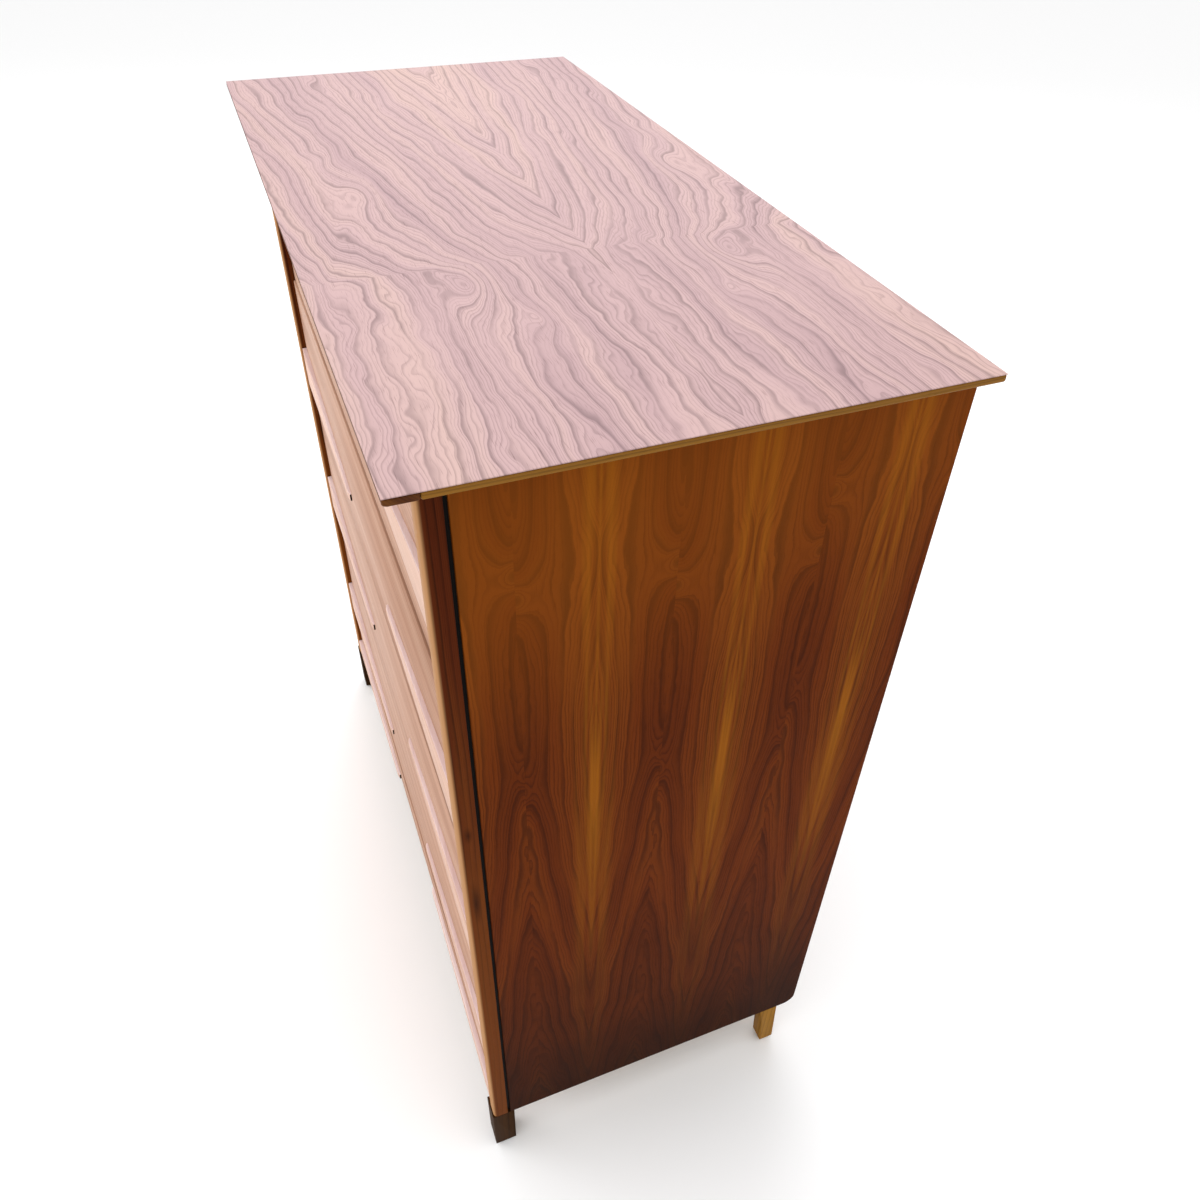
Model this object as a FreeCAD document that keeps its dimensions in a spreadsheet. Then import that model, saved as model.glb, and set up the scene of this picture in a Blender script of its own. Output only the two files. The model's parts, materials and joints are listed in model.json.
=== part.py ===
"""Mid-century walnut chest of four drawers, as a parametric assembly.

Frame: +Z up, +X to the right seen from the front, the front faces -Y.
Origin: on the floor, under the centre of the top.  Millimetres.
"""

import FreeCAD
import Part
import os
import Sketcher

DRAWERS = 4

SIZES = {
    # the top
    "top_length": 962,
    "top_depth": 457,
    "overall_height": 1081,
    "top_thickness": 19,
    "edge_thickness": 6.5,
    "edge_round": 2.5,
    "veneer_thickness": 0.9,
    "front_strip_width": 24,
    "side_overhang": 25,
    "front_overhang": 23.5,
    # the case
    "leg_height": 88,
    "panel_thickness": 18,
    "panel_corner": 16,
    "post_width": 20,
    "post_depth": 18,
    "post_round": 3.5,
    "reveal_width": 3.5,
    "reveal_recess": 4,
    "back_thickness": 6,
    "back_inset": 3,
    "base_rail_height": 50,
    "base_rail_thickness": 20,
    "base_rail_proud": 1.7,
    "back_rail_thickness": 18,
    "divider_thickness": 12,
    "top_rail_thickness": 12,
    "top_rail_width": 40,
    "corner_block": 40,
    # the drawers
    "face_recess": 9,
    "top_drawer_setback": 2.5,
    "front_thickness": 18.5,
    "front_gap": 2,
    "front_side_gap": 1,
    "box_side_clearance": 8,
    "box_top_clearance": 8,
    "slide_clearance": 0.3,
    "side_thickness": 12,
    "side_housing": 6,
    "box_length": 372,
    "box_back_thickness": 12,
    "box_back_drop": 8,
    "bottom_thickness": 5,
    "bottom_height": 14,
    "groove_depth": 5,
    # the wing pulls
    "wing_inner_reach": 113,
    "wing_bottom": 65,
    "wing_inner_height": 10,
    "wing_outer_height": 60,
    "wing_inner_depth": 4,
    "wing_outer_depth": 6.3,
    "wing_round": 1.2,
    "wing_post_gap": 1,
    "cove_depth": 7,
    "cove_drop": 14,
    "cove_tuck": 6,
    "cove_margin": 26,
    "base_wing_outer_height": 30,
    "base_wing_bottom": 2,
    # guides
    "guide_width": 24,
    "guide_height": 8,
    "guide_stop_width": 60,
    "guide_front_inset": 5,
    "runner_width": 10,
    "runner_lift": 1,
    "runner_side_clearance": 0.5,
    "side_guide_height": 25,
    "side_guide_clearance": 1,
    # feet
    "front_foot_depth": 28,
    "front_foot_width": 28,
    "front_foot_proud": 1.5,
    "front_foot_toe": 27,
    "back_foot_size": 25,
    "back_foot_toe": 20,
    "back_foot_inset": 25.5,
    "foot_splay": 6,
    "foot_waist": 40,
    "foot_round": 6,
    # fasteners
    "dowel_radius": 4,
    "dowel_length": 56,
    "dowel_in_foot": 28,
    "screw_radius": 2,
    "screw_length": 24,
    "screw_head_radius": 4,
    "screw_head_height": 2.5,
    "top_screw_spread": 350,
    "back_screw_spread": 320,
}

document = FreeCAD.newDocument("chest")
sheet = document.addObject("Spreadsheet::Sheet", "sizes")
for row, (alias, value) in enumerate(SIZES.items(), start=1):
    sheet.set(f"A{row}", alias)
    sheet.set(f"B{row}", str(value))
    sheet.setAlias(f"B{row}", alias)
document.recompute()

nodes = []


def cell(alias):
    """The sheet's cell of that alias, as it is written in an expression."""
    return f"sizes.{alias}"


def keep(thing, label):
    """Name a finished sub-part and put it on the list of nodes."""
    thing.Label = label
    nodes.append(thing)
    return thing


def bind(thing, settings):
    """Bind each property of a thing to its expression."""
    for path, expression in settings.items():
        thing.setExpression(path, str(expression))


# Lines of the case, as expressions of the sheet's cells -------------------------------------------
CASE_TOP = f"({cell('overall_height')} - {cell('top_thickness')})"
CASE_HALF = f"({cell('top_length')} / 2 - {cell('side_overhang')})"
INNER_HALF = f"({CASE_HALF} - {cell('panel_thickness')})"
POST_INNER = f"({CASE_HALF} - {cell('post_width')})"
TOP_FRONT = f"(0 - {cell('top_depth')} / 2)"
CASE_BACK = f"({cell('top_depth')} / 2)"
POST_FRONT = f"({TOP_FRONT} + {cell('front_overhang')})"
POST_BACK = f"({POST_FRONT} + {cell('post_depth')})"
PANEL_FRONT = f"({POST_BACK} + {cell('reveal_width')})"
BACK_FACE = f"({CASE_BACK} - {cell('back_inset')} - {cell('back_thickness')})"
FACE = f"({POST_FRONT} + {cell('face_recess')})"
BASE_RAIL_FRONT = f"({FACE} - {cell('base_rail_proud')})"
BASE_RAIL_BACK = f"({BASE_RAIL_FRONT} + {cell('base_rail_thickness')})"
DIVIDER_FRONT = (
    f"({FACE} + {cell('front_thickness')} + {cell('top_drawer_setback')} + {cell('slide_clearance')})"
)
LOWEST_GAP = f"({cell('leg_height')} + {cell('base_rail_height')})"
PITCH = f"(({CASE_TOP} - {LOWEST_GAP}) / {DRAWERS})"
BOX_HALF = f"({INNER_HALF} - {cell('box_side_clearance')})"
BOARD_LIFT = f"({cell('front_gap')} / 2 - {cell('slide_clearance')})"
SIDE_HEIGHT = (
    f"({PITCH} - {cell('slide_clearance')} - {cell('divider_thickness')} - {cell('box_top_clearance')})"
)
CORE_HALF = f"({cell('top_length')} / 2 - {cell('side_overhang')})"


def gap_below(drawer):
    """Height of the middle of the gap below a drawer; drawer 1 is the top one."""
    return f"({LOWEST_GAP} + {DRAWERS - drawer} * {PITCH})"


def floor_of(drawer):
    """Height of the board that a drawer slides on."""
    return f"({gap_below(drawer)} + {BOARD_LIFT})"


def board(name, low, high):
    """A plain board between two corners, each given as three expressions."""
    box = document.addObject("Part::Box", name)
    settings = {}
    for axis, side, start, end in zip("xyz", ("Length", "Width", "Height"), low, high):
        settings[side] = f"{end} - {start}"
        settings[f"Placement.Base.{axis}"] = start
    bind(box, settings)
    return box


def rod(name, centre, radius, length, direction="z"):
    """A round rod that starts at a point and runs along +Z, or along +Y."""
    cylinder = document.addObject("Part::Cylinder", name)
    if direction == "y":
        cylinder.Placement.Rotation = FreeCAD.Rotation(FreeCAD.Vector(1, 0, 0), -90)
    settings = {"Radius": radius, "Height": length}
    for axis, place in zip("xyz", centre):
        settings[f"Placement.Base.{axis}"] = place
    bind(cylinder, settings)
    return cylinder


def group(name, parts):
    """Several separate solids as one sub-part."""
    compound = document.addObject("Part::Compound", name)
    compound.Links = parts
    return compound


def cut(name, base, tools):
    """A piece less the shapes of its tools, one after another."""
    for number, tool in enumerate(tools, start=1):
        less = document.addObject("Part::Cut", f"{name}_cut_{number}")
        less.Base = base
        less.Tool = tool
        base = less
    return base


def common(name, first, second):
    """What two shapes share."""
    shared = document.addObject("Part::Common", name)
    shared.Base = first
    shared.Tool = second
    return shared


def mirror(name, source):
    """The left-hand twin of a right-hand piece."""
    twin = document.addObject("Part::Mirroring", name)
    twin.Source = source
    twin.Normal = FreeCAD.Vector(1, 0, 0)
    twin.Base = FreeCAD.Vector(0, 0, 0)
    return twin


def origin_plane(body, role):
    """One of a body's own origin planes, such as YZ_Plane."""
    for feature in body.Origin.OriginFeatures:
        if feature.Role == role:
            return feature
    raise ValueError(role)


def outline(body, name, role, offset, points):
    """A closed sketch of straight lines on an origin plane; each corner is bound to two expressions."""
    sketch = body.newObject("Sketcher::SketchObject", name)
    sketch.AttachmentSupport = [(origin_plane(body, role), "")]
    sketch.MapMode = "FlatFace"
    sketch.setExpression("AttachmentOffset.Base.z", offset)
    document.recompute()
    corners = [FreeCAD.Vector(sheet_value(across), sheet_value(up), 0) for across, up in points]
    count = len(corners)
    for index in range(count):
        line = Part.LineSegment(corners[index], corners[(index + 1) % count])
        sketch.addGeometry(line, False)
    for index in range(count):
        sketch.addConstraint(Sketcher.Constraint("Coincident", index, 2, (index + 1) % count, 1))
    for index, (across, up) in enumerate(points):
        place = corners[index]
        for kind, distance, expression in (("DistanceX", place.x, across), ("DistanceY", place.y, up)):
            number = sketch.addConstraint(Sketcher.Constraint(kind, -1, 1, index, 1, distance))
            sketch.setExpression(f"Constraints[{number}]", str(expression))
    return sketch


def sheet_value(expression):
    """The number that an expression of the sheet's cells gives."""
    return float(sheet.evalExpression(str(expression)))


def prism(name, role, start, length, points):
    """A body padded from one outline, along the normal of its plane (+X, -Y or +Z)."""
    body = document.addObject("PartDesign::Body", name)
    sketch = outline(body, f"{name}_outline", role, start, points)
    pad = body.newObject("PartDesign::Pad", f"{name}_pad")
    pad.Profile = sketch
    pad.setExpression("Length", length)
    sketch.Visibility = False
    document.recompute()
    return body


def round_edges(body, name, radius, wanted):
    """Round the edges of a body whose middle passes the test wanted(point, direction)."""
    names = []
    for number, edge in enumerate(body.Shape.Edges, start=1):
        middle = edge.valueAt((edge.FirstParameter + edge.LastParameter) / 2)
        along = edge.tangentAt((edge.FirstParameter + edge.LastParameter) / 2)
        if wanted(middle, along):
            names.append(f"Edge{number}")
    sharp = body.Tip
    fillet = body.newObject("PartDesign::Fillet", name)
    fillet.Base = (sharp, names)
    fillet.setExpression("Radius", radius)
    body.Tip = fillet
    document.recompute()
    return fillet


def near(first, second):
    """True where two lengths are the same within a hundredth of a millimetre."""
    return abs(first - second) < 0.01


# Fasteners come first, because the pieces that they hold are bored with them ----------------------
def make_dowels():
    """Four dowels that run from the feet up into the posts and the side panels."""
    low = f"({cell('leg_height')} - {cell('dowel_in_foot')})"
    across = f"({CASE_HALF} - {cell('panel_thickness')} / 2)"
    front = f"({POST_FRONT} + {cell('post_depth')} / 2)"
    back = f"({CASE_BACK} - {cell('back_foot_inset')} - {cell('back_foot_size')} / 2)"
    dowels = []
    for sign in ("", "-"):
        for place, along in (("front", front), ("back", back)):
            name = f"dowel_{place}_{'left' if sign else 'right'}"
            centre = (f"{sign}{across}", along, low)
            dowels.append(rod(name, centre, cell("dowel_radius"), cell("dowel_length")))
    return keep(group("dowels", dowels), "foot_dowels")


def screw(name, tip, direction):
    """A round-head screw: its shank starts at the tip and its head follows it."""
    if direction == "z":
        head_at = (tip[0], tip[1], f"({tip[2]} - {cell('screw_head_height')})")
        shank = rod(f"{name}_shank", tip, cell("screw_radius"), cell("screw_length"))
    else:
        head_at = (tip[0], tip[1], tip[2])
        start = f"({tip[1]} - {cell('screw_length')})"
        shank = rod(f"{name}_shank", (tip[0], start, tip[2]), cell("screw_radius"), cell("screw_length"), "y")
    head = rod(f"{name}_head", head_at, cell("screw_head_radius"), cell("screw_head_height"), direction)
    whole = document.addObject("Part::Fuse", name)
    whole.Base = head
    whole.Tool = shank
    return whole


def make_top_screws():
    """Six screws up through the top rails into the core of the top."""
    height = f"({CASE_TOP} - {cell('top_rail_thickness')})"
    front = f"({DIVIDER_FRONT} + {cell('top_rail_width')} / 2)"
    back = f"({BACK_FACE} - {cell('top_rail_width')} / 2)"
    screws = []
    for rail, along in (("front", front), ("back", back)):
        for step in (-1, 0, 1):
            across = f"({step} * {cell('top_screw_spread')})"
            screws.append(screw(f"top_screw_{rail}_{step + 2}", (across, along, height), "z"))
    return keep(group("screws_of_top", screws), "top_screws")


def make_back_screws():
    """Three screws through the back panel into each of the four boards."""
    screws = []
    outside = f"({BACK_FACE} + {cell('back_thickness')})"
    for drawer in range(1, DRAWERS + 1):
        height = f"({floor_of(drawer)} - {cell('divider_thickness')} / 2)"
        for step in (-1, 0, 1):
            across = f"({step} * {cell('back_screw_spread')})"
            screws.append(screw(f"back_screw_{drawer}_{step + 2}", (across, outside, height), "y"))
    return keep(group("screws_of_back", screws), "back_screws")


# The top ------------------------------------------------------------------------------------------
def make_top(screws):
    """A bevelled slab, divided into veneer, core, front strip and two side strips."""
    half = f"({cell('top_length')} / 2)"
    high = cell("overall_height")
    thin = f"({high} - {cell('edge_thickness')})"
    strip_back = f"({TOP_FRONT} + {cell('front_strip_width')})"
    along = prism(
        "slab_along", "YZ_Plane", f"(0 - {half})", cell("top_length"),
        [(TOP_FRONT, thin), (strip_back, CASE_TOP), (CASE_BACK, CASE_TOP), (CASE_BACK, high), (TOP_FRONT, high)],
    )
    edge_front = sheet_value(TOP_FRONT)
    edge_low = sheet_value(thin)
    round_edges(
        along, "slab_along_round", cell("edge_round"),
        lambda point, way: near(point.y, edge_front) and near(point.z, edge_low),
    )
    across = prism(
        "slab_across", "XZ_Plane", f"(0 - {CASE_BACK})", cell("top_depth"),
        [(f"(0 - {CORE_HALF})", CASE_TOP), (CORE_HALF, CASE_TOP), (half, thin), (half, high),
         (f"(0 - {half})", high), (f"(0 - {half})", thin)],
    )
    edge_side = sheet_value(half)
    round_edges(
        across, "slab_across_round", cell("edge_round"),
        lambda point, way: near(abs(point.x), edge_side) and near(point.z, edge_low),
    )
    slab = common("slab", along, across)
    under_veneer = f"({high} - {cell('veneer_thickness')})"
    wide = f"(0 - {half})"
    veneer_zone = board("veneer_zone", (wide, TOP_FRONT, under_veneer), (half, CASE_BACK, high))
    keep(common("veneer", slab, veneer_zone), "top_veneer")
    front_zone = board("front_strip_zone", (wide, TOP_FRONT, CASE_TOP), (half, strip_back, under_veneer))
    keep(common("front_strip", slab, front_zone), "top_edge_front")
    right_zone = board("side_strip_zone", (CORE_HALF, strip_back, CASE_TOP), (half, CASE_BACK, under_veneer))
    right = keep(common("side_strip", slab, right_zone), "top_edge_right")
    keep(mirror("side_strip_left", right), "top_edge_left")
    core = board("core_board", (f"(0 - {CORE_HALF})", strip_back, CASE_TOP), (CORE_HALF, CASE_BACK, under_veneer))
    keep(cut("core", core, [screws]), "top_core")


# The case -----------------------------------------------------------------------------------------
def make_side_panels(dowels):
    """Veneered side panels with a rounded lower back corner."""
    low = cell("leg_height")
    panel = prism(
        "panel_right_body", "YZ_Plane", INNER_HALF, cell("panel_thickness"),
        [(PANEL_FRONT, low), (CASE_BACK, low), (CASE_BACK, CASE_TOP), (PANEL_FRONT, CASE_TOP)],
    )
    back = sheet_value(CASE_BACK)
    bottom = sheet_value(low)
    round_edges(
        panel, "panel_corner_round", cell("panel_corner"),
        lambda point, way: near(point.y, back) and near(point.z, bottom),
    )
    right = keep(cut("panel_right", panel, [dowels]), "side_panel_right")
    keep(mirror("panel_left", right), "side_panel_left")


def make_posts(dowels):
    """Front posts with rounded front edges."""
    post = prism(
        "post_right_body", "XY_Plane", cell("leg_height"), f"{CASE_TOP} - {cell('leg_height')}",
        [(POST_INNER, POST_FRONT), (CASE_HALF, POST_FRONT), (CASE_HALF, POST_BACK), (POST_INNER, POST_BACK)],
    )
    front = sheet_value(POST_FRONT)
    round_edges(
        post, "post_round_edges", cell("post_round"),
        lambda point, way: near(point.y, front) and near(abs(way.z), 1),
    )
    right = keep(cut("post_right", post, [dowels]), "front_post_right")
    keep(mirror("post_left", right), "front_post_left")


def make_reveals():
    """Black strips set back between each post and its side panel."""
    outside = f"({CASE_HALF} - {cell('reveal_recess')})"
    right = board("reveal_right", (INNER_HALF, POST_BACK, cell("leg_height")), (outside, PANEL_FRONT, CASE_TOP))
    keep(right, "reveal_strip_right")
    keep(mirror("reveal_left", right), "reveal_strip_left")


def make_case_boards(top_screws, back_screws):
    """Back panel, bottom board, dust panels between the drawers, and the rails."""
    left = f"(0 - {INNER_HALF})"
    low = cell("leg_height")
    back_low = (left, BACK_FACE, low)
    back_high = (INNER_HALF, f"({BACK_FACE} + {cell('back_thickness')})", CASE_TOP)
    keep(cut("back_board", board("back_blank", back_low, back_high), [back_screws]), "back_panel")
    for drawer in range(1, DRAWERS + 1):
        high = floor_of(drawer)
        front = BASE_RAIL_BACK if drawer == DRAWERS else DIVIDER_FRONT
        label = "bottom_board" if drawer == DRAWERS else f"divider_{drawer}"
        thick = f"({high} - {cell('divider_thickness')})"
        blank = board(f"board_{drawer}", (left, front, thick), (INNER_HALF, BACK_FACE, high))
        keep(cut(f"bored_board_{drawer}", blank, [back_screws]), label)
    rail_low = f"({CASE_TOP} - {cell('top_rail_thickness')})"
    front_end = f"({DIVIDER_FRONT} + {cell('top_rail_width')})"
    front_rail = board("top_rail_1", (left, DIVIDER_FRONT, rail_low), (INNER_HALF, front_end, CASE_TOP))
    keep(cut("bored_rail_1", front_rail, [top_screws]), "top_rail_front")
    back_start = f"({BACK_FACE} - {cell('top_rail_width')})"
    back_rail = board("top_rail_2", (left, back_start, rail_low), (INNER_HALF, BACK_FACE, CASE_TOP))
    keep(cut("bored_rail_2", back_rail, [top_screws]), "top_rail_back")
    under_board = f"({floor_of(DRAWERS)} - {cell('divider_thickness')})"
    rail_start = f"({BACK_FACE} - {cell('back_rail_thickness')})"
    base_back = board("base_back", (left, rail_start, low), (INNER_HALF, BACK_FACE, under_board))
    keep(base_back, "base_rail_back")
    rail_top = f"({LOWEST_GAP} - {cell('front_gap')} / 2)"
    base_front = board(
        "base_front", (f"(0 - {POST_INNER})", BASE_RAIL_FRONT, low), (POST_INNER, BASE_RAIL_BACK, rail_top)
    )
    keep(base_front, "base_rail")
    make_corner_blocks(low, under_board, rail_start)


def make_corner_blocks(low, high, back_rail_front):
    """Four glue blocks in the corners under the bottom board."""
    size = cell("corner_block")
    blocks = []
    front = (BASE_RAIL_BACK, f"({BASE_RAIL_BACK} + {size})")
    back = (f"({back_rail_front} - {size})", back_rail_front)
    inside = f"({INNER_HALF} - {size})"
    for side, near_x, far_x in (("right", inside, INNER_HALF), ("left", f"(0 - {INNER_HALF})", f"(0 - {inside})")):
        for place, (start, end) in (("front", front), ("back", back)):
            blocks.append(board(f"block_{place}_{side}", (near_x, start, low), (far_x, end, high)))
    keep(group("blocks", blocks), "corner_blocks")


# Guides -------------------------------------------------------------------------------------------
def drawer_front(drawer):
    """How far forward a drawer's front face lies; the top drawer sits a little deeper."""
    return f"({FACE} + {cell('top_drawer_setback')})" if drawer == 1 else FACE


def box_back(drawer):
    """Where a drawer's box ends at the back."""
    return f"({drawer_front(drawer)} + {cell('front_thickness')} + {cell('box_length')})"


def make_guides():
    """Centre guides with a stop at the back, and a strip each side that keeps a drawer straight."""
    centre = []
    sides = {"left": [], "right": []}
    for drawer in range(1, DRAWERS + 1):
        low = floor_of(drawer)
        high = f"({low} + {cell('guide_height')})"
        half = f"({cell('guide_width')} / 2)"
        front = f"({DIVIDER_FRONT} + {cell('guide_front_inset')})"
        centre.append(board(f"guide_rail_{drawer}", (f"(0 - {half})", front, low), (half, BACK_FACE, high)))
        wide = f"({cell('guide_stop_width')} / 2)"
        stop_at = f"({box_back(drawer)} + {cell('slide_clearance')})"
        stop = board(f"guide_stop_{drawer}", (half, stop_at, low), (wide, BACK_FACE, high))
        centre.extend([stop, mirror(f"guide_stop_left_{drawer}", stop)])
        inside = f"({BOX_HALF} + {cell('side_guide_clearance')})"
        top = f"({low} + {cell('side_guide_height')})"
        right = board(f"side_guide_{drawer}", (inside, DIVIDER_FRONT, low), (INNER_HALF, BACK_FACE, top))
        sides["right"].append(right)
        sides["left"].append(mirror(f"side_guide_left_{drawer}", right))
    keep(group("guides", centre), "center_guides")
    for side, strips in sides.items():
        keep(group(f"guides_{side}", strips), f"side_guides_{side}")


# Wing pulls ---------------------------------------------------------------------------------------
def wing(name, face, bottom, outer_height):
    """A right-hand wing: low near the middle, taller and prouder towards the post."""
    inner_at = cell("wing_inner_reach")
    outer_at = f"({POST_INNER} - {cell('wing_post_gap')})"
    inner_proud = f"({face} - {cell('wing_inner_depth')})"
    outer_proud = f"({face} - {cell('wing_outer_depth')})"
    body = prism(
        name, "XZ_Plane", f"(0 - {face})", cell("wing_outer_depth"),
        [(inner_at, bottom), (outer_at, bottom), (outer_at, f"({bottom} + {outer_height})"),
         (inner_at, f"({bottom} + {cell('wing_inner_height')})")],
    )
    clear = f"({outer_proud} - 1)"
    taper = outline(
        body, f"{name}_taper", "XY_Plane", f"({bottom} - 1)",
        [(inner_at, inner_proud), (outer_at, outer_proud), (outer_at, clear), (inner_at, clear)],
    )
    whole = body.Shape.Volume
    pocket = body.newObject("PartDesign::Pocket", f"{name}_pocket")
    pocket.Profile = taper
    pocket.Reversed = True
    pocket.setExpression("Length", f"{outer_height} + 2")
    taper.Visibility = False
    document.recompute()
    if body.Shape.Volume > whole - 1:
        raise RuntimeError(f"{name}: the taper removed nothing")
    flush = sheet_value(face)
    round_edges(
        body, f"{name}_round", cell("wing_round"),
        lambda point, way: point.y < flush - 1 and abs(way.x) > 0.9,
    )
    return body


def wing_pair(name, label, face, bottom, outer_height):
    """A right-hand wing and its left-hand twin, as one sub-part."""
    right = wing(f"{name}_right", face, bottom, outer_height)
    keep(group(f"{name}_pair", [right, mirror(f"{name}_left", right)]), label)


# Drawers ------------------------------------------------------------------------------------------
def cove(name, face, bottom):
    """The finger space behind and below a wing: a round-bottomed channel cut into the drawer's front."""
    start = f"({cell('wing_inner_reach')} + {cell('cove_margin')})"
    end = f"({POST_INNER} - {cell('cove_margin')})"
    low = f"({bottom} - {cell('cove_drop')})"
    high = f"({bottom} + {cell('cove_tuck')})"
    deep = f"({face} + {cell('cove_depth')})"
    knee = f"({low} + {cell('cove_depth')})"
    corners = [(face, low), (deep, knee), (deep, high), (face, high)]
    return prism(name, "YZ_Plane", start, f"{end} - {start}", corners)


def make_drawer(drawer):
    """One drawer: front, wings, sides, back, bottom and the two strips that straddle its guide."""
    name = f"drawer_{drawer}"
    face = drawer_front(drawer)
    behind = f"({face} + {cell('front_thickness')})"
    low = f"({gap_below(drawer)} + {cell('front_gap')} / 2)"
    high = f"({gap_below(drawer)} + {PITCH} - {cell('front_gap')} / 2)"
    half = f"({POST_INNER} - {cell('front_side_gap')})"
    end = box_back(drawer)
    side_start = f"({behind} - {cell('side_housing')})"
    side_high = f"({low} + {SIDE_HEIGHT})"
    side_inner = f"({BOX_HALF} - {cell('side_thickness')})"
    groove = f"({side_inner} + {cell('groove_depth')})"
    floor_low = f"({low} + {cell('bottom_height')})"
    floor_high = f"({floor_low} + {cell('bottom_thickness')})"

    side = board(f"{name}_side_blank", (side_inner, side_start, low), (BOX_HALF, end, side_high))
    bottom = board(
        f"{name}_floor", (f"(0 - {groove})", f"({behind} - {cell('groove_depth')})", floor_low),
        (groove, end, floor_high),
    )
    right = keep(cut(f"{name}_side", side, [bottom]), f"{name}_side_right")
    left = keep(mirror(f"{name}_side_twin", right), f"{name}_side_left")
    keep(bottom, f"{name}_bottom")

    wing_low = f"({gap_below(drawer)} + {cell('wing_bottom')})"
    right_cove = cove(f"{name}_cove", face, wing_low)
    blank = board(f"{name}_front_blank", (f"(0 - {half})", face, low), (half, behind, high))
    tools = [right, left, bottom, right_cove, mirror(f"{name}_cove_twin", right_cove)]
    keep(cut(f"{name}_face", blank, tools), f"{name}_front")
    wing_pair(f"{name}_wing", f"{name}_pulls", face, wing_low, cell("wing_outer_height"))

    back_start = f"({end} - {cell('box_back_thickness')})"
    back_high = f"({side_high} - {cell('box_back_drop')})"
    back = board(f"{name}_rear", (f"(0 - {side_inner})", back_start, floor_high), (side_inner, end, back_high))
    keep(back, f"{name}_back")

    inside = f"({cell('guide_width')} / 2 + {cell('runner_side_clearance')})"
    outside = f"({inside} + {cell('runner_width')})"
    strip = board(f"{name}_strip", (inside, behind, f"({low} + {cell('runner_lift')})"), (outside, end, floor_low))
    keep(group(f"{name}_strips", [strip, mirror(f"{name}_strip_twin", strip)]), f"{name}_runner")


# Feet ---------------------------------------------------------------------------------------------
def make_foot(name, front, back, toe_front, toe_back, inner, toe_inner, dowels):
    """A short tapered foot: the shape shared by a side outline and a front outline, rounded at the floor."""
    top = cell("leg_height")
    toe_outer = f"({CASE_HALF} + {cell('foot_splay')} / 2)" if name == "back" else CASE_HALF
    waist = f"({top} - {cell('foot_waist')})"
    waist_back = f"(({back} + {toe_back}) / 2)"
    waist_inner = f"(({inner} + {toe_inner} * 3) / 4)"
    waist_front = f"(({front} + {toe_front} * 3) / 4)"
    side_view = prism(
        f"foot_{name}_side", "YZ_Plane", f"({inner} - {cell('foot_splay')})", f"{CASE_HALF} - {inner} + 20",
        [(toe_front, "0"), (toe_back, "0"), (waist_back, waist), (back, top), (front, top), (waist_front, waist)],
    )
    front_view = prism(
        f"foot_{name}_front", "XZ_Plane", f"(0 - {back} - 20)", f"{back} - {front} + 40",
        [(toe_inner, "0"), (toe_outer, "0"), (CASE_HALF, top), (inner, top), (waist_inner, waist)],
    )
    for view, label in ((side_view, "side"), (front_view, "front")):
        round_edges(
            view, f"foot_{name}_{label}_round", cell("foot_round"),
            lambda point, way: near(point.z, 0) and near(abs(way.x if label == "side" else way.y), 1),
        )
    shape = common(f"foot_{name}", side_view, front_view)
    right = keep(cut(f"foot_{name}_bored", shape, [dowels]), f"foot_{name}_right")
    keep(mirror(f"foot_{name}_twin", right), f"foot_{name}_left")


def make_feet(dowels):
    """The blocky front feet and the tapered back feet."""
    front = f"({POST_FRONT} - {cell('front_foot_proud')})"
    front_end = f"({front} + {cell('front_foot_depth')})"
    inner = f"({CASE_HALF} - {cell('front_foot_width')})"
    slack = f"({cell('front_foot_depth')} - {cell('front_foot_toe')})"
    make_foot("front", front, front_end, front, f"({front_end} - {slack})", inner, f"({inner} + {slack})", dowels)
    back_end = f"({CASE_BACK} - {cell('back_foot_inset')})"
    back_start = f"({back_end} - {cell('back_foot_size')})"
    toe_end = f"({back_end} + {cell('foot_splay')} / 2)"
    toe_start = f"({toe_end} - {cell('back_foot_toe')})"
    inner = f"({CASE_HALF} - {cell('back_foot_size')})"
    toe_inner = f"({CASE_HALF} + {cell('foot_splay')} / 2 - {cell('back_foot_toe')})"
    make_foot("back", back_start, back_end, toe_start, toe_end, inner, toe_inner, dowels)


def write_parts():
    """Check every object and every sub-part, then write one STEP file per sub-part."""
    document.recompute()
    for thing in document.Objects:
        if "Invalid" in thing.State or "Error" in thing.State:
            raise RuntimeError(f"{thing.Label}: {thing.State}")
    for node in nodes:
        if node.Shape.isNull() or not node.Shape.isValid() or not node.Shape.Solids:
            raise RuntimeError(f"{node.Label}: bad shape")
    os.makedirs("parts", exist_ok=True)
    for node in nodes:
        node.Shape.exportStep(f"parts/{node.Label}.step")
        solids = len(node.Shape.Solids)
        print(f"{node.Label}: {solids} solid(s), {node.Shape.Volume / 1000:.1f} cm3")
    print(len(nodes), "nodes")


def main():
    """Build the chest, piece by piece."""
    dowels = make_dowels()
    top_screws = make_top_screws()
    back_screws = make_back_screws()
    make_top(top_screws)
    make_side_panels(dowels)
    make_posts(dowels)
    make_reveals()
    make_case_boards(top_screws, back_screws)
    make_guides()
    for drawer in range(1, DRAWERS + 1):
        make_drawer(drawer)
    bottom = f"({cell('leg_height')} + {cell('base_wing_bottom')})"
    wing_pair("base_wing", "base_rail_wings", BASE_RAIL_FRONT, bottom, cell("base_wing_outer_height"))
    make_feet(dowels)
    write_parts()


main()
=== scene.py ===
"""Studio picture of a walnut chest of drawers, built around its CAD frame.

Frame: +Z up, +X right seen from the front, the front faces -Y, origin on the floor under the top.  Metres.
"""

import json
import logging
import math
from dataclasses import dataclass
from enum import Enum
from typing import Iterable, Sequence, Union

import bmesh
import bpy
import numpy as np
from mathutils import Matrix, Vector

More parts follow.
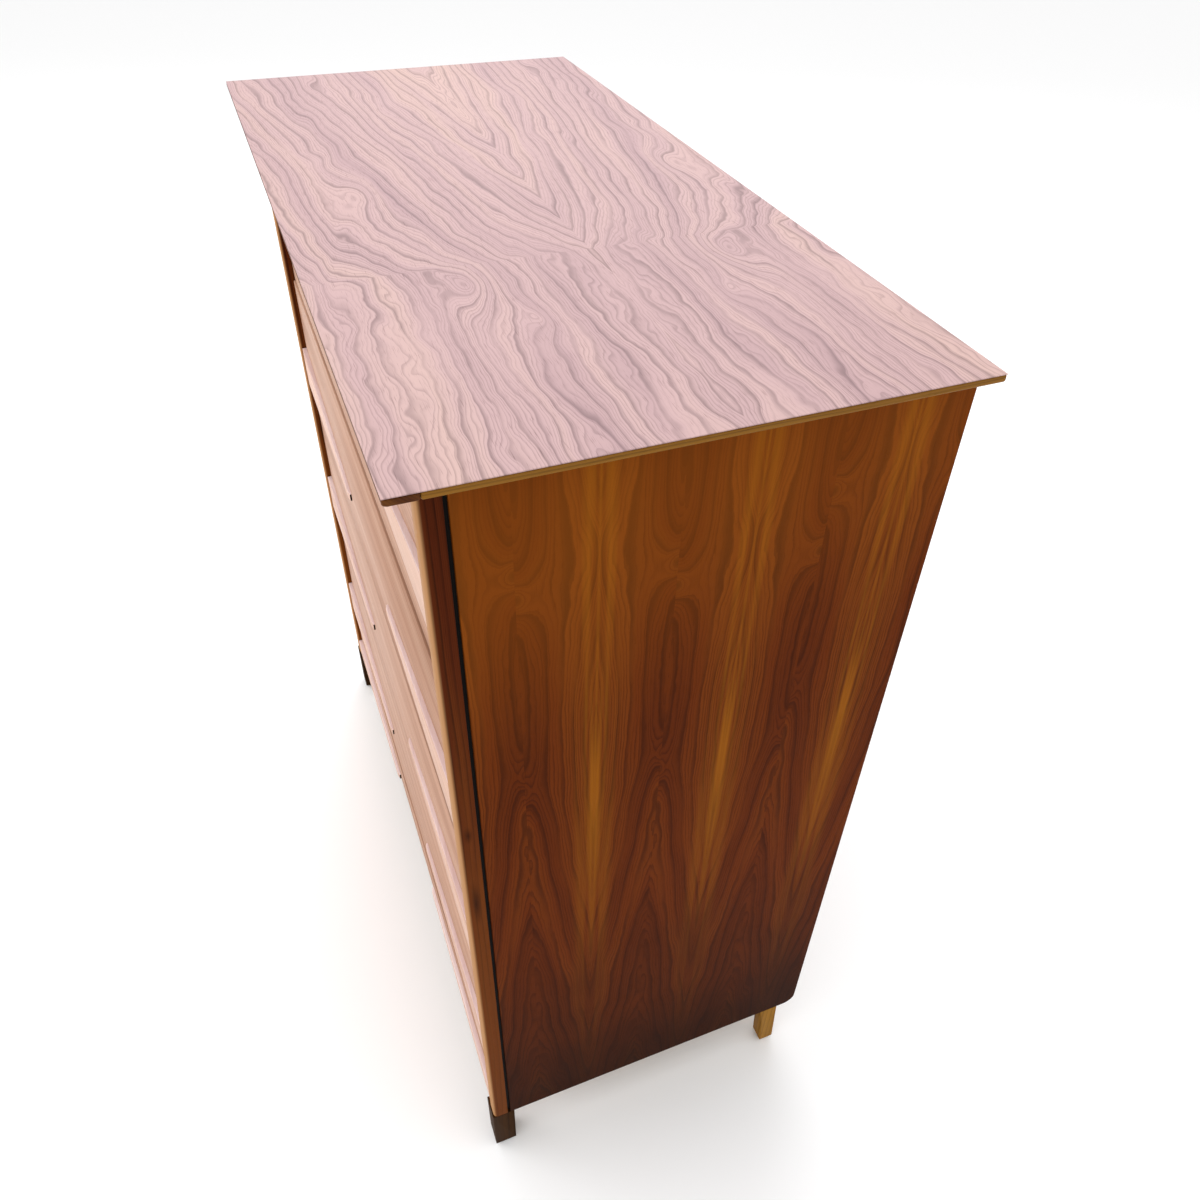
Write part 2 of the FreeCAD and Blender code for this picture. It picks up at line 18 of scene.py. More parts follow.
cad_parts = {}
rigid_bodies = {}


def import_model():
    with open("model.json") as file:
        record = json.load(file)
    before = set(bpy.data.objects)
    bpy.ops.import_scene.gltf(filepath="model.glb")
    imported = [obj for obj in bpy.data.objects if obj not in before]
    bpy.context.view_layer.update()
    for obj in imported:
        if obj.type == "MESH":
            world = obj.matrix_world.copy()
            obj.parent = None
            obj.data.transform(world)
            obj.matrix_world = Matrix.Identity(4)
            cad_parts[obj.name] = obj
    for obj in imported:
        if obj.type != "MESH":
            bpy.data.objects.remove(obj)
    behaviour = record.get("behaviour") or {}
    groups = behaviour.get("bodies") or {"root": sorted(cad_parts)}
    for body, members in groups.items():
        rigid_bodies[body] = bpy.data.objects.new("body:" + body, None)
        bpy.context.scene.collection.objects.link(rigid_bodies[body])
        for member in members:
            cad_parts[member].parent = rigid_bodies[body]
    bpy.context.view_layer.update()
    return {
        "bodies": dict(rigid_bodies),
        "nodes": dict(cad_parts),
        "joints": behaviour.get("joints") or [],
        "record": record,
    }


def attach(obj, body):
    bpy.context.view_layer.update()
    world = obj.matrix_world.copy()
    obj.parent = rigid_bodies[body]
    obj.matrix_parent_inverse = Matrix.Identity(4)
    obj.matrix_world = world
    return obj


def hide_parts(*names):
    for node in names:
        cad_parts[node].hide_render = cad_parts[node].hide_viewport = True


LOG = logging.getLogger("chest")
Point = tuple[float, float, float]
Colour = tuple[float, float, float]
Socket = bpy.types.NodeSocket
Value = Union[Socket, float, Sequence[float]]

CASE = "case"
DRAWERS = (1, 2, 3, 4)
LEG = 0.088  # from the floor to the case
BASE_RAIL = 0.050
LOWEST_GAP = LEG + BASE_RAIL  # under the lowest drawer
PITCH = 0.231  # from one drawer to the next
FACE = -0.196  # of the drawers, in Y
TOP_DRAWER_SETBACK = 0.0025
FIGURE_BASE = LEG - 0.050  # where the figure of sides and posts is measured from


class Side(Enum):
    """The two halves of the chest, with the sign of their X."""

    LEFT = -1
    RIGHT = 1

    @property
    def label(self) -> str:
        """The word used in the names of pieces."""
        return self.name.lower()


class Grain(Enum):
    """The way the grain of a solid piece runs."""

    ALONG_X = "x"
    ALONG_Y = "y"
    ALONG_Z = "z"


# Materials ----------------------------------------------------------------------------------------
def srgb(code: str) -> Colour:
    """Scene-linear colour of a six-digit code.

    Args:
        code: Red, green and blue as two hexadecimal digits each.

    Returns:
        The three linear values.
    """
    values = [int(code[i : i + 2], 16) / 255 for i in (0, 2, 4)]
    return tuple(v / 12.92 if v <= 0.04045 else ((v + 0.055) / 1.055) ** 2.4 for v in values)


class Graph:
    """A node tree with short words for the few nodes that the finishes use."""

    def __init__(self, material: bpy.types.Material) -> None:
        self.material = material
        self.tree = material.node_tree
        self.shader = next(n for n in self.tree.nodes if n.type == "BSDF_PRINCIPLED")

    @classmethod
    def new(cls, name: str) -> "Graph":
        """The graph of a new material."""
        material = bpy.data.materials.new(name)
        material.use_nodes = True
        return cls(material)

    def node(self, kind: str, inputs: dict | None = None, **settings: object) -> bpy.types.Node:
        """Adds one node.

        Args:
            kind: The node's type without the ShaderNode prefix.
            inputs: Input name or index to a value or to another node's output.
            settings: Properties of the node.

        Returns:
            The new node.
        """
        made = self.tree.nodes.new("ShaderNode" + kind)
        column = len(self.tree.nodes)
        made.location = (-190 * (column % 12), -220 * (column // 12))
        for key, value in settings.items():
            setattr(made, key, value)
        for key, value in (inputs or {}).items():
            self.feed(made.inputs[key], value)
        return made

    def feed(self, socket: Socket, value: Value) -> None:
        """Links an output to a socket, or sets the socket's value.

        Args:
            socket: The input.
            value: An output, a number, or a colour of three numbers.
        """
        if isinstance(value, bpy.types.NodeSocket):
            self.tree.links.new(value, socket)
        elif isinstance(value, tuple) and socket.type == "RGBA":
            socket.default_value = (*value, 1.0)
        else:
            socket.default_value = value

    def maths(self, operation: str, *values: Value) -> Socket:
        """The output of one Math node."""
        return self.node("Math", dict(enumerate(values)), operation=operation).outputs[0]

    def plus(self, first: Value, second: Value) -> Socket:
        """The sum of two values."""
        return self.maths("ADD", first, second)

    def minus(self, first: Value, second: Value) -> Socket:
        """The first value less the second."""
        return self.maths("SUBTRACT", first, second)

    def times(self, first: Value, second: Value) -> Socket:
        """The product of two values."""
        return self.maths("MULTIPLY", first, second)

    def over(self, first: Value, second: Value) -> Socket:
        """The first value divided by the second."""
        return self.maths("DIVIDE", first, second)

    def squares(self, first: Value, second: Value) -> Socket:
        """The sum of the squares of two values."""
        return self.plus(self.times(first, first), self.times(second, second))

    def swing(self, noise: Value, reach: Value) -> Socket:
        """A noise value moved to swing about zero, times its reach."""
        return self.times(self.minus(noise, 0.5), reach)

    def noise(self, vector: Socket, scale: float, detail: float = 2.0, rough: float = 0.5,
              warp: float = 0.0) -> Socket:
        """A noise texture's value at a vector."""
        inputs = {"Vector": vector, "Scale": scale, "Detail": detail, "Roughness": rough, "Distortion": warp}
        return self.node("TexNoise", inputs).outputs["Fac"]

    def ramp(self, value: Value, stops: Sequence[tuple[float, Colour]]) -> Socket:
        """A colour ramp's output.

        Args:
            value: Where on the ramp, 0 to 1.
            stops: Place and colour of each stop.

        Returns:
            The colour.
        """
        made = self.node("ValToRGB", {0: value})
        elements = made.color_ramp.elements
        while len(elements) < len(stops):
            elements.new(0.5)
        for element, (place, colour) in zip(elements, stops):
            element.position = place
            element.color = (*colour, 1.0)
        return made.outputs[0]

    def mix(self, factor: Value, first: Value, second: Value) -> Socket:
        """Mixes two colours.

        Args:
            factor: Share of the second colour.
            first: The colour at 0.
            second: The colour at 1.

        Returns:
            The mixed colour.
        """
        made = self.node("Mix", data_type="RGBA")
        for index, value in ((0, factor), (6, first), (7, second)):
            self.feed(made.inputs[index], value)
        return made.outputs[2]

    def range(self, value: Value, low: float, high: float, to_low: float = 0.0,
              to_high: float = 1.0) -> Socket:
        """Maps a value from one range to another, clamped and smooth."""
        inputs = {"Value": value, "From Min": low, "From Max": high, "To Min": to_low, "To Max": to_high}
        return self.node("MapRange", inputs, interpolation_type="SMOOTHSTEP").outputs[0]

    def combine(self, x: Value, y: Value, z: Value) -> Socket:
        """A vector of three values."""
        return self.node("CombineXYZ", {0: x, 1: y, 2: z}).outputs[0]

    def point(self) -> Socket:
        """The surface point in the row frame."""
        return self.node("TexCoord").outputs["Object"]

    def place(self) -> tuple[Socket, ...]:
        """The X, Y and Z of the surface point in the row frame."""
        return tuple(self.node("SeparateXYZ", {0: self.point()}).outputs)

    def bump(self, height: Value, strength: float, distance: float) -> Socket:
        """A bump node's normal."""
        return self.node("Bump", {"Height": height, "Strength": strength, "Distance": distance}).outputs[0]

    def base(self) -> Socket:
        """The output that feeds the base colour."""
        return self.shader.inputs["Base Color"].links[0].from_socket

    def colour(self, value: Value) -> None:
        """Feeds the base colour."""
        self.feed(self.shader.inputs["Base Color"], value)


@dataclass(frozen=True)
class WoodFinish:
    """Lacquered or raw wood: growth lines around a bent pith, pores along the grain, and slow colour change.

    The growth lines are the level curves of a height field over the piece.  Their pitch, their waviness and
    the spread of their colours are what differ from one finish to another.
    """

    name: str
    dark: str
    middle: str
    light: str
    line: str
    grain: Grain = Grain.ALONG_Z
    pitch: float = 0.008
    wave: float = 0.010
    line_strength: float = 0.45
    pore_strength: float = 0.35
    rough: float = 0.5
    coat: float = 0.0
    specular: float = 0.08
    fine_strength: float = 0.45
    sharpness: float = 4.0

    def build(self) -> bpy.types.Material:
        """Makes the material.

        Returns:
            The finished material.
        """
        g = Graph.new(self.name)
        x, y, z = g.place()
        along, across, deep = {
            Grain.ALONG_X: (x, z, y),
            Grain.ALONG_Y: (y, z, x),
            Grain.ALONG_Z: (z, x, y),
        }[self.grain]
        across = g.plus(across, deep)
        slow = g.combine(g.times(along, 1.6), g.times(across, 7.0), 0.0)
        sway = g.swing(g.noise(slow, 1.0, 3.0), self.wave * 4)
        self.finish(g, g.over(g.plus(across, sway), self.pitch), along, across, deep)
        return g.material

    @staticmethod
    def lines(g: Graph, rings: Value, sharpness: float) -> Socket:
        """Growth lines that darken slowly, to a power, and end abruptly.

        Args:
            g: The graph being built.
            rings: Height field, one line for each whole number.
            sharpness: Power of the slow side.

        Returns:
            The darkness of the lines, 0 to 1.
        """
        darkest, end = 0.9, 0.985
        phase = g.maths("FRACT", rings)
        slow = g.maths("POWER", g.range(phase, 0.0, darkest), sharpness)
        return g.times(slow, g.minus(1.0, g.range(phase, darkest, end)))

    def finish(self, g: Graph, rings: Value, along: Value, across: Value, deep: Value) -> None:
        """Colours the growth lines and pores, then sets sheen and bump.

        Args:
            g: The graph being built.
            rings: Height field in growth rings.
            along: Place along the grain.
            across: Place across the grain.
            deep: Third place, which keeps neighbouring faces apart.
        """
        line = self.lines(g, rings, self.sharpness)
        fine = self.lines(g, g.times(rings, 4.37), self.sharpness * 0.6)
        line = g.maths("MAXIMUM", line, g.times(fine, self.fine_strength))
        band = g.noise(g.combine(g.times(rings, 0.23), g.times(along, 0.9), 3.1), 1.0, 3.0, 0.6)
        colour = g.ramp(band, [(0.28, srgb(self.dark)), (0.5, srgb(self.middle)), (0.72, srgb(self.light))])
        vary = g.noise(g.combine(g.times(along, 5.0), rings, 0.0), 1.0, 2.0)
        amount = g.times(g.times(line, self.line_strength), g.range(vary, 0.25, 0.6, 0.25))
        colour = g.mix(amount, colour, srgb(self.line))
        fibre = g.combine(g.times(along, 55.0), g.times(across, 1500.0), g.times(deep, 1500.0))
        pores = g.range(g.noise(fibre, 1.0, 2.0, 0.6), 0.56, 0.74)
        g.colour(g.mix(g.times(pores, self.pore_strength), colour, srgb(self.line)))
        g.feed(g.shader.inputs["Roughness"], g.plus(g.times(pores, 0.15), self.rough))
        g.shader.inputs["Specular IOR Level"].default_value = self.specular
        g.shader.inputs["Coat Weight"].default_value = self.coat
        g.shader.inputs["Coat Roughness"].default_value = 0.22
        height = g.plus(g.times(pores, -0.7), g.times(line, 0.25))
        g.feed(g.shader.inputs["Normal"], g.bump(height, 0.3, 0.0001))


@dataclass(frozen=True)
class TopFinish(WoodFinish):
    """Book-matched top: two mirrored leaves along X whose growth lines draw a long cathedral, with knots.

    A knot is its X, its distance from the seam, its half width and how far it pushes the lines aside.
    """

    seam: float = 0.020
    apex: float = 0.17
    knots: tuple[tuple[float, float, float, float], ...] = (
        (0.205, 0.118, 0.022, 0.030),
        (0.285, 0.083, 0.013, 0.016),
        (-0.02, 0.165, 0.02, 0.012),
    )

    def build(self) -> bpy.types.Material:
        """Makes the material.

        Returns:
            The finished material.
        """
        g = Graph.new(self.name)
        x, y, _ = g.place()
        drift = g.swing(g.noise(g.combine(g.times(x, 3.0), g.times(y, 9.0), 0.4), 1.0, 2.0), 0.012)
        out = g.maths("ABSOLUTE", g.plus(g.minus(y, self.seam), drift))
        wave = g.combine(g.times(x, 4.2), g.times(out, 13.0), 2.7)
        ripple = g.combine(g.times(x, 20.0), g.times(out, 34.0), 5.1)
        crimp = g.range(g.plus(x, out), -0.1, 0.35, 0.0015, 0.016)
        sway = g.plus(g.swing(g.noise(wave, 1.0, 2.0, 0.5, 0.4), 0.060),
                      g.swing(g.noise(ripple, 1.0, 2.0, 0.5), crimp))
        # The leaf opens to the left: the field is the distance from the seam, less a spread that grows there.
        reach = g.maths("MAXIMUM", g.minus(self.apex, x), 0.0)
        spread = g.times(g.maths("POWER", reach, 0.62), 0.135)
        level = g.plus(g.minus(out, spread), sway)
        for knot_x, knot_out, size, push in self.knots:
            dx = g.over(g.minus(x, knot_x), size * 2.3)
            dy = g.over(g.minus(out, knot_out), size)
            level = g.plus(level, g.over(push, g.plus(g.squares(dx, dy), 0.6)))
        self.finish(g, g.over(level, self.pitch), x, y, 0.0)
        return g.material


@dataclass(frozen=True)
class SideFinish(WoodFinish):
    """Vertical leaves, each mirrored about its seam, with tall arches low down and eyes near the top.

    An eye is its height, its distance from the seam, its half height and half width, and how far it pushes
    the lines aside.
    """

    seam: float = -0.078
    half_leaf: float = 0.0645
    arch_top: float = 0.66
    low_painted_shade: str = "1a0c06"
    gold: str = "9a5c12"
    upper_front_tone: str = "94500f"
    eyes: tuple[tuple[float, float, float, float, float], ...] = (
        (0.915, 0.0645, 0.020, 0.011, 0.034),
        (0.945, 0.0, 0.05, 0.03, -0.018),
        (0.69, 0.0645, 0.024, 0.012, 0.016),
    )

    def build(self) -> bpy.types.Material:
        """Makes the material.

        Returns:
            The finished material.
        """
        g = Graph.new(self.name)
        _, y, z = g.place()
        z = g.minus(z, FIGURE_BASE)
        out = g.maths("PINGPONG", g.minus(y, self.seam), self.half_leaf)
        leaf = g.maths("FLOOR", g.over(g.minus(y, self.seam - self.half_leaf), self.half_leaf * 2))
        up = g.plus(z, g.times(g.maths("SINE", g.times(leaf, 2.4)), 0.035))
        wave = g.combine(g.times(up, 5.0), g.times(out, 20.0), 7.7)
        ripple = g.combine(g.times(up, 30.0), g.times(out, 80.0), 1.1)
        sway = g.plus(g.swing(g.noise(wave, 1.0, 2.0, 0.5, 0.3), 0.030),
                      g.swing(g.noise(ripple, 1.0, 3.0, 0.6), 0.0035))
        # The middle of a leaf is its pith: lines there form tall narrow arches that open downwards.
        blunt = g.range(up, 0.1, 0.75, 0.016, 0.004)
        pith = g.maths("SQRT", g.squares(g.minus(self.half_leaf, out), blunt))
        rise = g.times(g.maths("MAXIMUM", g.minus(self.arch_top, up), 0.0), 0.115)
        level = g.plus(g.minus(pith, rise), sway)
        for height, place, tall, wide, push in self.eyes:
            dz = g.over(g.minus(up, height), tall)
            dy = g.over(g.minus(out, place), wide)
            level = g.plus(level, g.over(push, g.plus(g.squares(dz, dy), 1.0)))
        self.finish(g, g.over(level, self.pitch), z, y, 0.0)
        self.stain(g, y, z, out)
        return g.material

    def stain(self, g: Graph, y: Value, z: Value, out: Value) -> None:
        """Adds gold streaks along the seams, a paler top, and painted shade that darkens the panel towards
        the floor.

        Args:
            g: The graph being built.
            y: Place from front to back.
            z: Height over the start of the figure.
            out: Distance from the seam.
        """
        streak = g.noise(g.combine(g.times(z, 2.0), g.times(out, 90.0), 4.0), 1.0, 2.0)
        golden = g.times(g.range(out, 0.024, 0.0), g.range(streak, 0.35, 0.62))
        golden = g.times(golden, g.range(z, 0.15, 0.80, 0.12, 0.85))
        base = g.mix(golden, g.base(), srgb(self.gold))
        # Paler, redder tone towards the top front of the panel.
        high = g.range(g.minus(z, g.times(y, 0.3)), 0.72, 1.05, 0.0, 0.34)
        base = g.mix(high, base, srgb(self.upper_front_tone))
        # Painted shade: the panel darkens towards the floor, along a noisy edge.
        soft = g.noise(g.combine(g.times(z, 7.0), g.times(y, 12.0), 9.0), 1.0, 2.0)
        low = g.range(g.plus(z, g.times(soft, -0.22)), -0.10, 0.36, 0.80, 0.0)
        g.colour(g.mix(low, base, srgb(self.low_painted_shade)))


@dataclass(frozen=True)
class PostFinish(WoodFinish):
    """A post that turns from dark brown at its top, painted shade under the top's overhang, to gold lower
    down, with pale front edges that are a painted highlight, and knots.

    A knot is its height, its half height and its strength.
    """

    gold: str = "80460f"
    painted_highlight: str = "b98a5c"
    knots: tuple[tuple[float, float, float], ...] = ((0.655, 0.016, 0.75), (0.545, 0.045, 0.8))

    def build(self) -> bpy.types.Material:
        """Makes the material.

        Returns:
            The finished material.
        """
        g = Graph(super().build())
        _, y, z = g.place()
        z = g.minus(z, FIGURE_BASE)
        base = g.base()
        blot = g.noise(g.combine(g.times(z, 9.0), g.times(y, 60.0), 2.0), 1.0, 2.0)
        # Painted shade: darker towards the top, where the top's overhang shades the post, and gold lower
        # down.
        down = g.range(g.plus(z, g.times(blot, 0.3)), 1.05, 0.45, 0.0, 0.8)
        base = g.mix(down, base, g.mix(0.45, base, srgb(self.gold)))
        # Painted highlight: the front face and its rounded edges are paled where they catch the light.
        base = g.mix(g.range(y, -0.2012, -0.2046, 0.0, 0.75), base, srgb(self.painted_highlight))
        side = g.times(g.minus(y, FACE), 170.0)
        for height, tall, amount in self.knots:
            far = g.maths("SQRT", g.squares(g.over(g.minus(z, height), tall), side))
            spot = g.range(g.plus(far, blot), 0.3, 1.5, amount, 0.0)
            base = g.mix(spot, base, srgb(self.line))
        g.colour(base)
        return g.material


@dataclass(frozen=True)
class PlainFinish:
    """A stained strip, raw board or screw: one colour that soft noise mottles, with a matching roughness."""

    name: str
    first: str
    second: str
    rough: float = 0.7
    metallic: float = 0.0
    scale: float = 60.0

    def build(self) -> bpy.types.Material:
        """Makes the material.

        Returns:
            The finished material.
        """
        g = Graph.new(self.name)
        mottle = g.noise(g.point(), self.scale, 4.0, 0.6)
        g.colour(g.ramp(mottle, [(0.3, srgb(self.first)), (0.7, srgb(self.second))]))
        g.feed(g.shader.inputs["Roughness"], g.plus(g.times(mottle, 0.2), self.rough - 0.1))
        g.shader.inputs["Metallic"].default_value = self.metallic
        g.shader.inputs["Specular IOR Level"].default_value = 0.5 if self.metallic else 0.1
        g.feed(g.shader.inputs["Normal"], g.bump(mottle, 0.2, 0.0003))
        return g.material


FINISHES = {
    finish.name: finish
    for finish in (
        # The top's pinkish-lavender colours are partly walnut and partly a painted reflection of the pale
        # surround on its finish.
        TopFinish("walnut_top", "a5878a", "b99a99", "c4a59c", "4a3336", Grain.ALONG_X, pitch=0.0125,
                  line_strength=0.50, pore_strength=0.42, specular=0.14, fine_strength=0.6, sharpness=8.0),
        # The side's dark browns are partly walnut and partly painted shade for the side turned away from the
        # main lamps.
        SideFinish("walnut_side", "4a1c07", "622a09", "783c0f", "210b04", pitch=0.0115, line_strength=0.58,
                   pore_strength=0.34, rough=0.55, specular=0.02, fine_strength=0.75, sharpness=5.5),
        WoodFinish("walnut_edge", "6a4516", "8a5e20", "9c6d28", "3a2008", Grain.ALONG_Y, pitch=0.004,
                   wave=0.004),
        WoodFinish("walnut_strip", "3f1a0a", "5a3210", "6e4318", "2a1206", Grain.ALONG_X, pitch=0.003,
                   wave=0.003),
        PostFinish("walnut_post", "361306", "4e1f0a", "64300f", "170803", pitch=0.006, wave=0.006,
                   line_strength=0.6, specular=0.02),
        # The fronts' pale tan is partly walnut and partly painted sheen, as the fronts catch the light at a
        # grazing angle.
        WoodFinish("walnut_front", "9a7058", "b08770", "be9a84", "6e4c38", Grain.ALONG_X, pitch=0.009,
                   wave=0.012, line_strength=0.4, pore_strength=0.3, specular=0.12),
        WoodFinish("walnut_pull", "b48a72", "c7a08a", "d4b0a0", "7d5a48", Grain.ALONG_X, pitch=0.006,
                   wave=0.006, line_strength=0.35, pore_strength=0.3, rough=0.45, specular=0.2),
        # Painted highlight: the ledges' pale pink stands in for the sheen their upward faces show.
        WoodFinish("walnut_ledge_sheen", "d0b0aa", "dcc2bf", "e6d2d0", "a07f78", Grain.ALONG_X, pitch=0.006,
                   wave=0.006, line_strength=0.2, pore_strength=0.2, rough=0.35, coat=0.1, specular=0.5),
        # End grain, darkened to near black as painted shade on the noses' end faces.
        WoodFinish("walnut_end_grain_shade", "120906", "1a0d08", "26140c", "080403", pitch=0.002, wave=0.002),
        # One wood twice: the front feet darkened as painted shade, the back feet lightened as painted light.
        WoodFinish("walnut_foot_front", "2a1708", "36200c", "45290f", "140a05", specular=0.02),
        WoodFinish("walnut_foot_back", "77501a", "8d6222", "a5762e", "4a2d0d", specular=0.03),
        WoodFinish("secondary_wood", "a98a62", "b99b70", "c9ac80", "846344", Grain.ALONG_X, pitch=0.012,
                   wave=0.012, line_strength=0.35, pore_strength=0.2, rough=0.7),
        WoodFinish("guide_wood", "b29468", "c2a577", "cfb387", "8c6c46", Grain.ALONG_Y, pitch=0.008,
                   wave=0.006, line_strength=0.35, pore_strength=0.2, rough=0.6),
        WoodFinish("drawer_wood", "b4915f", "c7a674", "d2b485", "8e6d43", Grain.ALONG_Y, pitch=0.009,
                   wave=0.009, line_strength=0.4, pore_strength=0.2, coat=0.1),
        WoodFinish("drawer_ply", "b08d5e", "c0a070", "ccaf80", "8f7048", Grain.ALONG_X, pitch=0.014,
                   wave=0.02, line_strength=0.35, pore_strength=0.15, rough=0.55, coat=0.1),
        PlainFinish("core_board", "8f7350", "a88a63", 0.85),
        PlainFinish("back_board", "6b4f36", "7d5f44", 0.8, scale=140.0),
        PlainFinish("reveal_black", "0a0807", "120e0b"),
        PlainFinish("screw_steel", "8d8b88", "a8a6a2", 0.35, metallic=1.0, scale=300.0),
    )
}


class Workshop:
    """Builds each finish once, and makes, dresses and mounts pieces."""

    def __init__(self, frame: dict) -> None:
        self.frame = frame
        self.finishes: dict[str, bpy.types.Material] = {}

    def finish(self, name: str) -> bpy.types.Material:
        """The material of a finish, built when first asked for."""
        if name not in self.finishes:
            self.finishes[name] = FINISHES[name].build()
        return self.finishes[name]

    def piece(self, name: str, mesh: bpy.types.Mesh, finish: str, body: str, nodes: Iterable[str] = (),
              bevel: float = 0.0, segments: int = 3) -> bpy.types.Object:
        """Makes one object of a mesh.

        Args:
            name: Name of the piece.
            mesh: Its mesh, in the row frame.
            finish: Name of its finish.
            body: The CAD body that it rides on.
            nodes: CAD nodes that it stands for.
            bevel: Radius of its softened edges.
            segments: Segments of the bevel.

        Returns:
            The new object.
        """
        made = bpy.data.objects.new(name, mesh)
        bpy.context.scene.collection.objects.link(made)
        mesh.materials.append(self.finish(finish))
        if bevel:
            soften(made, bevel, segments)
        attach(made, body)
        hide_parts(*nodes)
        LOG.info("piece %s: %d faces, body %s", name, len(mesh.polygons), body)
        return made

    def dress(self, node: str, finish: str, bevel: float = 0.0006) -> None:
        """Gives a CAD node its finish and slightly softened edges.

        Args:
            node: The CAD node.
            finish: Name of its finish.
            bevel: Radius of its softened edges, or 0.
        """
        thing = self.frame["nodes"][node]
        thing.data.materials.clear()
        thing.data.materials.append(self.finish(finish))
        if bevel:
            weld = thing.modifiers.new("weld", "WELD")
            weld.merge_threshold = 1e-5
            flat = thing.modifiers.new("flat", "DECIMATE")
            flat.decimate_type = "DISSOLVE"
            flat.angle_limit = math.radians(1)
            soften(thing, bevel, 2)
        LOG.info("node %s: %s", node, finish)


def soften(thing: bpy.types.Object, radius: float, segments: int) -> None:
    """Rounds the sharp edges of a piece, as its maker's sandpaper does.

    Args:
        thing: The piece.
        radius: How far the rounding reaches from an edge.
        segments: Faces across the rounding.
    """
    for polygon in thing.data.polygons:
        polygon.use_smooth = True
    bevel = thing.modifiers.new("soft edges", "BEVEL")
    bevel.width = radius
    bevel.segments = segments
    bevel.limit_method = "ANGLE"
    bevel.angle_limit = math.radians(28)
    bevel.harden_normals = True
    bevel.use_clamp_overlap = True


# Meshes -------------------------------------------------------------------------------------------
def hull_mesh(name: str, points: np.ndarray) -> bpy.types.Mesh:
    """The closed convex mesh around some points, with flat faces joined.

    Args:
        name: Name of the mesh.
        points: One row per corner.

    Returns:
        The mesh.
    """
    shape = bmesh.new()
    for place in np.asarray(points, float).reshape(-1, 3):
        shape.verts.new(place)
    bmesh.ops.convex_hull(shape, input=shape.verts)
    bmesh.ops.dissolve_limit(shape, angle_limit=0.01, verts=shape.verts, edges=shape.edges)
    bmesh.ops.recalc_face_normals(shape, faces=shape.faces)
    mesh = bpy.data.meshes.new(name)
    shape.to_mesh(mesh)
    shape.free()
    return mesh


def sweep_mesh(name: str, rings: np.ndarray) -> bpy.types.Mesh:
    """A skin over rings of points, with both ends closed.

    Args:
        name: Name of the mesh.
        rings: Array of shape (rings, points in a ring, 3).

    Returns:
        The mesh, with its faces outward.
    """
    count, size = rings.shape[:2]
    index = np.arange(count * size).reshape(count, size)
    turned = np.roll(index, -1, axis=1)
    quads = np.stack([index[:-1], turned[:-1], turned[1:], index[1:]], axis=-1).reshape(-1, 4)
    faces = [tuple(int(v) for v in quad) for quad in quads]
    faces.append(tuple(int(v) for v in index[0][::-1]))
    faces.append(tuple(int(v) for v in index[-1]))
    mesh = bpy.data.meshes.new(name)
    mesh.from_pydata([tuple(p) for p in rings.reshape(-1, 3)], [], faces)
    shape = bmesh.new()
    shape.from_mesh(mesh)
    bmesh.ops.recalc_face_normals(shape, faces=shape.faces)
    shape.to_mesh(mesh)
    shape.free()
    mesh.validate()
    return mesh


def corners(low: Point, high: Point) -> np.ndarray:
    """The eight corners of a box."""
    return np.stack(np.meshgrid(*zip(low, high), indexing="ij"), axis=-1).reshape(-1, 3)


def mirrored(points: np.ndarray, side: Side) -> np.ndarray:
    """Right-hand points moved to a side."""
    return np.asarray(points, float) * (side.value, 1, 1)


# Sub-assemblies -----------------------------------------------------------------------------------
@dataclass
class Top:
    """The top: veneer over a core, with solid edges bevelled underneath."""

    half_length: float = 0.481
    half_depth: float = 0.2285
    height: float = 1.081
    thickness: float = 0.019
    edge: float = 0.0065
    veneer: float = 0.0009
    strip: float = 0.024
    side_strip: float = 0.025
    corner_cut: Point = (0.014, 0.010, 0.006)

    def make(self, shop: Workshop) -> None:
        """Builds veneer and edges, and dresses the core.

        Args:
            shop: Makes and dresses the pieces.
        """
        low = self.height - self.thickness
        thin = self.height - self.edge
        glue = self.height - self.veneer
        front, back, end = -self.half_depth, self.half_depth, self.half_length
        inner_y, inner_x = front + self.strip, end - self.side_strip
        veneer = hull_mesh("veneer", corners((-end, front, glue), (end, back, self.height)))
        shop.piece("top_veneer_leaf", veneer, "walnut_top", CASE, ["top_veneer"], bevel=0.0006)
        cut_x, cut_y, cut_z = self.corner_cut
        ends = []
        for sign in (-1, 1):
            ends += [(sign * end, front, glue), (sign * end, front, thin), (sign * end, inner_y, glue),
                     (sign * inner_x, inner_y, low), (sign * end, inner_y, thin),
                     (sign * (end - cut_x), inner_y - cut_y, low + cut_z)]
        strip = hull_mesh("front strip", np.array(ends))
        shop.piece("top_strip_front", strip, "walnut_strip", CASE, ["top_edge_front"],
                   bevel=0.0018, segments=4)
        for side in Side:
            points = [(end, y, z) for y in (inner_y, back) for z in (thin, glue)]
            points += [(inner_x, y, z) for y in (inner_y, back) for z in (low, glue)]
            mesh = hull_mesh(f"strip {side.label}", mirrored(np.array(points), side))
            shop.piece(f"top_strip_{side.label}", mesh, "walnut_edge", CASE, [f"top_edge_{side.label}"],
                       bevel=0.0016, segments=4)
        shop.dress("top_core", "core_board", 0)


